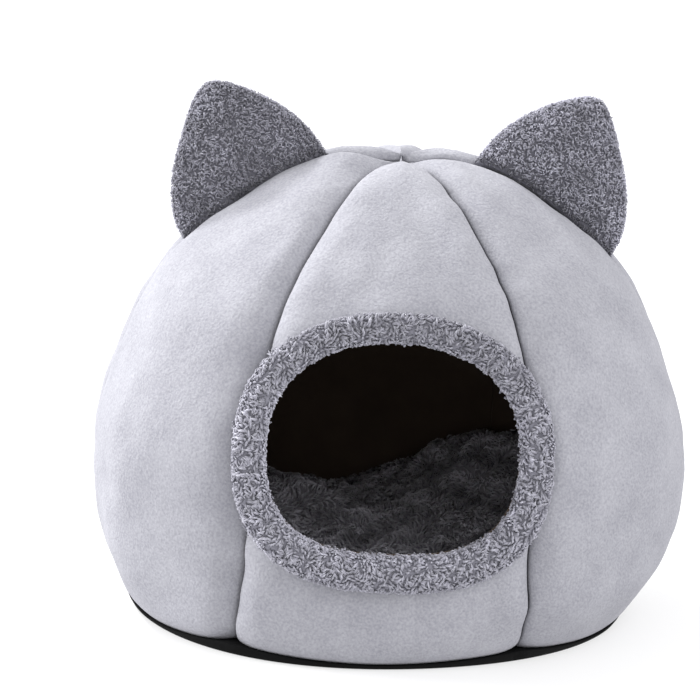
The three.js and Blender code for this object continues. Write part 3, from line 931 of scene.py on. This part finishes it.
ear = {
    "edge": np.array([  # along its foot and up from it
        (-5, -26), (-5, 0), (-3, 23), (5, 46), (20, 69), (37, 85),
        (52, 83), (74, 65), (94, 44), (107, 21), (110, 0), (108, -26),
    ], float),
    "middle": np.array((52.0, 20.0)),
    "innerRoot": (53, 303),  # radius and height of the roots, near the top of the dome and at its side
    "outerRoot": (144, 244),
    "lean": math.radians(21),
    "softEdge": 36,  # the filling is at its full depth this far from the edge
    "drawnIn": 0.6,  # share of the core's depth by which the edge moves towards the middle
    "along": 72,
    "rows": 22,
    "core": 3.0,  # the backing lies this far under the tips of the pile
    "edgePoints": 400,
    "footPoints": 40,  # at each end these belong to the foot and not to the rim
    "sides": {"right": 86.5, "left": -85},
    "seeds": {"right": 40, "left": 50},
    "tones": {"right": 1.2, "left": 0.95},  # painted light and shade: the right ear's pile is painted paler and the left ear's darker
    "front": {
        "fill": 24, "material": earMaterial, "slot": "dark_plush",
        "length": 2.9, "lift": 2.2, "width": 1.4, "curl": 0.7, "steps": 2, "tone": 1.0, "mix": 0.16,
        "backing": 0.2, "spacing": 0.95, "swirl": {"size": 9, "turn": 2.4, "stray": 0.4},
    },
    "back": {
        "fill": -15, "material": earBackMaterial, "slot": "short_plush",
        "length": 2.0, "lift": 1.5, "width": 1.25, "curl": 0.3, "steps": 2, "tone": 0.92, "mix": 0.08,
        "backing": 0.5, "spacing": 1.1, "swirl": {"size": 26, "turn": 2.4, "stray": 0.4},
    },
    "cover": {"facing": 0.04, "foot": -0.9},  # pile grows on faces that look out more than this, and not down
    "tips": {"height": 1.5, "clear": 0.8},  # a lock is left out where it would stand in the dome
    "patches": {"size": 22, "tone": 0.12},
    "clump": {"size": 2.4, "tone": 0.12, "height": 0.15},
    "rim": {"reach": 7, "tone": 0.75, "shorter": 0.55},  # the pile is shorter this near to the edge, and painted paler there as a painted highlight
    "foot": {"reach": 4, "shade": 0.8},  # and painted in shade this near to the dome
    "tuck": {"share": 0.42, "reach": 17},  # the filling is drawn in above the seam that holds the ear
}


def earPoints(azimuth, fill):
    angle, side = math.radians(azimuth), math.copysign(1, azimuth)
    outwards = np.array((math.sin(angle), -math.cos(angle), 0))
    forwards = np.array((-math.cos(angle), -math.sin(angle), 0)) * side
    roots = [outwards * radius + (0, leanAt(height), height)
             for radius, height in (ear["innerRoot"], ear["outerRoot"])]
    along = unit(roots[1] - roots[0])
    upright = np.cross(forwards, along) * side
    up = upright * math.cos(ear["lean"]) - forwards * math.sin(ear["lean"])
    front = forwards * math.cos(ear["lean"]) + upright * math.sin(ear["lean"])
    share = np.linspace(0, 1, ear["along"] + 1)
    edge = smoothLine(ear["edge"], share)
    foot = ear["edge"][0] + (ear["edge"][-1] - ear["edge"][0]) * share[:, None]
    way = np.sin(np.linspace(0, math.pi / 2, ear["rows"] + 1))
    flat = foot[None] + (edge - foot)[None] * way[:, None, None]
    fine = smoothLine(ear["edge"], np.linspace(0, 1, ear["edgePoints"]))
    fromEdge = np.min(np.linalg.norm(flat[:, :, None] - fine, axis=-1), axis=2)
    fullness = np.sqrt(1 - within(ear["softEdge"], fromEdge) ** 2)
    out = math.copysign(1, fill) * (abs(fill) - ear["core"]) * fullness
    out[-1] = out[:, 0] = out[:, -1] = 0
    gap = math.copysign(dome["clearance"] / 2, fill)
    drawn = flat + unit(ear["middle"] - flat) * ear["core"] * ear["drawnIn"] * (1 - fullness[..., None])
    grid = roots[0] + drawn[..., :1] * along + drawn[..., 1:] * up
    rim = fine[ear["footPoints"]:-ear["footPoints"]]
    rimLine = roots[0] + rim[:, :1] * along + rim[:, 1:] * up
    return grid + (out + gap)[..., None] * front, grid + gap * front, front, up, along, rimLine


def aboveSeat(seat, points):  # how far each point stands off the dome
    found = []
    for place in (Vector(point * metresPerMillimetre) for point in points):
        at, away, _, _ = seat.find_nearest(place)
        found.append((place - at).dot(away) / metresPerMillimetre)
    return np.array(found)


def addEarCloth(side, face, block, seat, seed):
    azimuth, look = ear["sides"][side], ear[face]
    raised, level, front, up, along, rimLine = earPoints(azimuth, look["fill"])
    above = np.maximum(aboveSeat(seat, raised.reshape(-1, 3)), 0).reshape(raised.shape[:2])
    tuck = 1 - ear["tuck"]["share"] * bell(ear["tuck"]["reach"], above)
    raised = level + (raised - level) * tuck[..., None]
    sheets = (raised, level) if look["fill"] * azimuth > 0 else (level, raised)
    piece = slab(f"ear_{face}_{side}", *sheets)
    cutAway(piece, block)
    corners = meshCorners(piece)
    facing = faceNormals(corners)
    outward = front * math.copysign(1, look["fill"])
    shown = (facing @ outward > ear["cover"]["facing"]) & (facing @ up > ear["cover"]["foot"])
    roots = scatter(corners[shown], look["spacing"], seed)[0]
    normals = smoothNormals(piece, roots)
    clear = aboveSeat(seat, roots + ear["tips"]["height"] * normals)
    free = clear > ear["tips"]["clear"]
    roots, normals, clear = roots[free], normals[free], clear[free]
    combed = unit(combPile(roots, normals, look["swirl"], seed + 2, along, up))
    rim = bell(ear["rim"]["reach"], np.linalg.norm(roots[:, None] - rimLine, axis=-1).min(1))
    clump = clumps(roots, ear["clump"]["size"], seed + 6)
    toneAt = 1 + ear["patches"]["tone"] * swell(roots, ear["patches"]["size"], seed + 5)
    # painted highlight: paler pile near the rim
    toneAt = toneAt + ear["clump"]["tone"] * clump + ear["rim"]["tone"] * rim
    # painted shade near the dome, times the painted light and shade of each ear
    toneAt *= (1 - ear["foot"]["shade"] * bell(ear["foot"]["reach"], clear)) * ear["tones"][side]
    size = (1 - ear["rim"]["shorter"] * rim) * (1 + ear["clump"]["height"] * clump)
    addPile(piece, roots, normals, combed, look, seed + 4, toneAt, size)
    print("ear locks", face, side, len(roots))
    finishPiece(piece, look["material"], look["slot"], f"ear_{side}_{face}")


def addEars():
    block = domeBlock("earSeat", -dome["clearance"], "soft")
    seat = surfaceTree(block)
    for side, seed in ear["seeds"].items():
        addEarCloth(side, "front", block, seat, seed)
        addEarCloth(side, "back", block, seat, seed + 1)
    bpy.data.objects.remove(block)


addEars()
print("ears made")


# Base cloth: flat on the floor, with a low turned-up rim under the panels

base = {
    "sheet": 2.4,
    "columns": 30,
    "foot": [(0.01, 2.2), (0.5, 0.9), (1.2, 0.3)],  # height, and depth under the dome's outside
    "rim": [(0.8, 0), (0.2, 0.2), (0, 0.6)],  # distance below its upper edge, and depth
}


def baseRing(heights, depth):  # once round the dome
    shares = np.linspace(0, 1, base["columns"])
    step = stepAtHeight(heights)
    sides = []
    for start, end in panel["spans"].values():
        sides.append(domePoint(flaredAzimuth(start + (end - start) * shares, step), step, depth))
    return np.concatenate(sides)


def addBase():
    rim = rimHeight(np.linspace(0, 1, base["columns"]))
    rings = [baseRing(height + 0 * rim, depth) for height, depth in base["foot"]]
    rings += [baseRing(rim - drop, depth) for drop, depth in base["rim"]]
    rings += [baseRing(heights, dome["wall"]) for heights in (rim, base["sheet"] + 0 * rim)]
    rings[0][:, 2] = 0
    piece = stack("base_cloth", rings)
    finishPiece(piece, baseMaterial, "non_slip", "base")


addBase()
print("base made")


# Cushion: filled, lying on the base, its filling pushed up at the back right

cushion = {
    "gap": 3.6,  # to the lining
    "rows": np.array([  # share of the reach to the lining, share of the height
        (0.0, 0.0), (0.45, 0.0), (0.9, 0.0), (0.965, 0.12), (1.0, 0.38), (0.985, 0.65),
        (0.93, 0.87), (0.84, 0.97), (0.66, 1.0), (0.34, 1.0), (0.0, 1.0),
    ]),
    "lowerRings": (1.2, 4, 20),  # where they start and end along the rows, and how many
    "upperRings": (4, 8.8, 70),
    "columns": 25,
    "height": 44,
    "pile": 4,  # the backing lies this far under the height
    "lumps": [
        {"x": 110, "y": 130, "height": 64, "spread": 84},
        {"x": -85, "y": 30, "height": 26, "spread": 50},
        {"x": -25, "y": 30, "height": 18, "spread": 45},
        {"x": 10, "y": -20, "height": -6, "spread": 55},
        {"x": -20, "y": 110, "height": -5, "spread": 45},
    ],
    "swells": [{"size": 34, "height": 1.6, "seed": 61}, {"size": 12, "height": 0.7, "seed": 62}],
    "swellRise": 3,  # more than 1 keeps them to the top
    "look": {"length": 6.5, "lift": 2.8, "width": 2.2, "curl": 0.9, "steps": 2, "tone": 1.0, "mix": 0.12,
             "backing": 0.3},
    "cover": 0.25,  # only faces that look up by more than this have pile
    "spacing": 1.85,
    "swirl": {"size": 34, "turn": 2.0, "stray": 0.35},
    "mottle": [{"size": 26, "tone": 0.26, "seed": 66}, {"size": 10, "tone": 0.16, "seed": 67}],
    "pale": {"x": -60, "y": -30, "spread": 65, "tone": 0.25},  # a painted pool of light on the front left, where light falls in through the door
    "tones": (0.4, 1.7),  # darkest and palest
    "seed": 63,
}


def cushionHeight(x, y):
    return cushion["height"] + sum(
        lump["height"] * np.exp(-((x - lump["x"]) ** 2 + (y - lump["y"]) ** 2) / lump["spread"] ** 2)
        for lump in cushion["lumps"])


def cushionRing(azimuth, step):
    depth = dome["wall"] + dome["clearance"] + lining["thickness"] + cushion["gap"]
    floor = base["sheet"] + dome["clearance"]
    line = smoothLine(cushion["rows"], np.array(step))
    fill, rise = min(line[0], 1.0), min(max(line[1], 0.0), 1.0)
    reach = domePoint(azimuth, stepAtHeight(floor + rise * cushion["height"]) + 0 * azimuth, depth)
    middle = np.stack([0 * azimuth, leanAt(reach[:, 2])], -1)
    plan = middle + (reach[:, :2] - middle) * fill
    top = cushionHeight(plan[:, 0], plan[:, 1]) - cushion["pile"]
    ring = np.concatenate([plan, (floor + rise * top)[:, None]], 1)
    for part in cushion["swells"]:
        raised = part["height"] * rise ** cushion["swellRise"]
        ring[:, 2] += raised * swell(ring * (1, 1, 0), part["size"], part["seed"])
    ring[:, 2] = np.maximum(ring[:, 2], floor)
    return ring


def addCushion():
    share = np.linspace(0, 1, cushion["columns"] + 1)[1:]
    azimuth = np.concatenate([start + (end - start) * share for start, end in panel["spans"].values()])
    lower, upper = np.linspace(*cushion["lowerRings"], endpoint=False), np.linspace(*cushion["upperRings"])
    steps = np.concatenate([lower, upper]) / (len(cushion["rows"]) - 1)
    piece = stack("floor_cushion", [cushionRing(azimuth, step) for step in steps])
    corners, seed = meshCorners(piece), cushion["seed"]
    shown = faceNormals(corners)[:, 2] > cushion["cover"]
    roots = scatter(corners[shown], cushion["spacing"], seed)[0]
    normals = smoothNormals(piece, roots)
    ahead, across = np.array((1, 0, 0)), np.array((0, 1, 0))
    combed = unit(combPile(roots, normals, cushion["swirl"], seed + 1, ahead, across))
    toneAt = 1 + sum(part["tone"] * swell(roots, part["size"], part["seed"]) for part in cushion["mottle"])
    # a painted pool of light on the cushion's front left
    pale = cushion["pale"]
    away = np.hypot(roots[:, 0] - pale["x"], roots[:, 1] - pale["y"])
    toneAt += pale["tone"] * bell(pale["spread"], away)
    addPile(piece, roots, normals, combed, cushion["look"], seed + 5, np.clip(toneAt, *cushion["tones"]))
    print("cushion locks", len(roots))
    finishPiece(piece, cushionMaterial, "cushion_plush", "cushion")


addCushion()
print("cushion made")


# Studio: a backlit sheet of white paper, an even white sky, two soft lamps at the left, one of them well
# behind, and a weak broad one at the right

studio = {
    "floorColour": "a0a0a1",  # the paper is lit from below too, so it looks white
    "floorGlow": 0.62,
    "floorReach": 20000,
    "sky": 1.1,
    "lamps": {
        "side": {"strength": 2.9, "azimuth": -103, "elevation": 21, "softness": 22},
        "back": {"strength": 3.0, "azimuth": -142, "elevation": 42, "softness": 9},
        "fill": {"strength": 1.15, "azimuth": 60, "elevation": 35, "softness": 40},
    },
}


def addLamps():
    for name, light in studio["lamps"].items():
        lamp = bpy.data.lights.new(name + "Light", "SUN")
        lamp.energy, lamp.angle = light["strength"], math.radians(light["softness"])
        piece = bpy.data.objects.new(name + "Light", lamp)
        piece.rotation_mode = "QUATERNION"
        piece.rotation_quaternion = towards(light["azimuth"], light["elevation"]).to_track_quat("Z", "Y")
        bpy.context.scene.collection.objects.link(piece)


def addStudio():
    scene = bpy.context.scene
    scene.view_settings.view_transform = "Standard"
    world = bpy.data.worlds.new("studioSky")
    world.use_nodes = True
    world.node_tree.nodes["Background"].inputs["Color"].default_value = linear("ffffff")
    world.node_tree.nodes["Background"].inputs["Strength"].default_value = studio["sky"]
    scene.world = world
    addLamps()
    far = studio["floorReach"]
    corners = [(-far, -far, 0), (far, -far, 0), (far, far, 0), (-far, far, 0)]
    floor = makeMesh("floor", corners, [(0, 1, 2, 3)])
    material, tree = newMaterial("whitePaper")
    shader = addNode(tree, "ShaderNodeBsdfPrincipled", {
        "Base Color": linear(studio["floorColour"]), "Roughness": 0.9, "Specular IOR Level": 0.1,
        "Emission Color": linear("ffffff"), "Emission Strength": studio["floorGlow"],
    })
    addNode(tree, "ShaderNodeOutputMaterial", links={"Surface": shader.outputs["BSDF"]})
    floor.data.materials.append(material)


addStudio()
print("studio made")
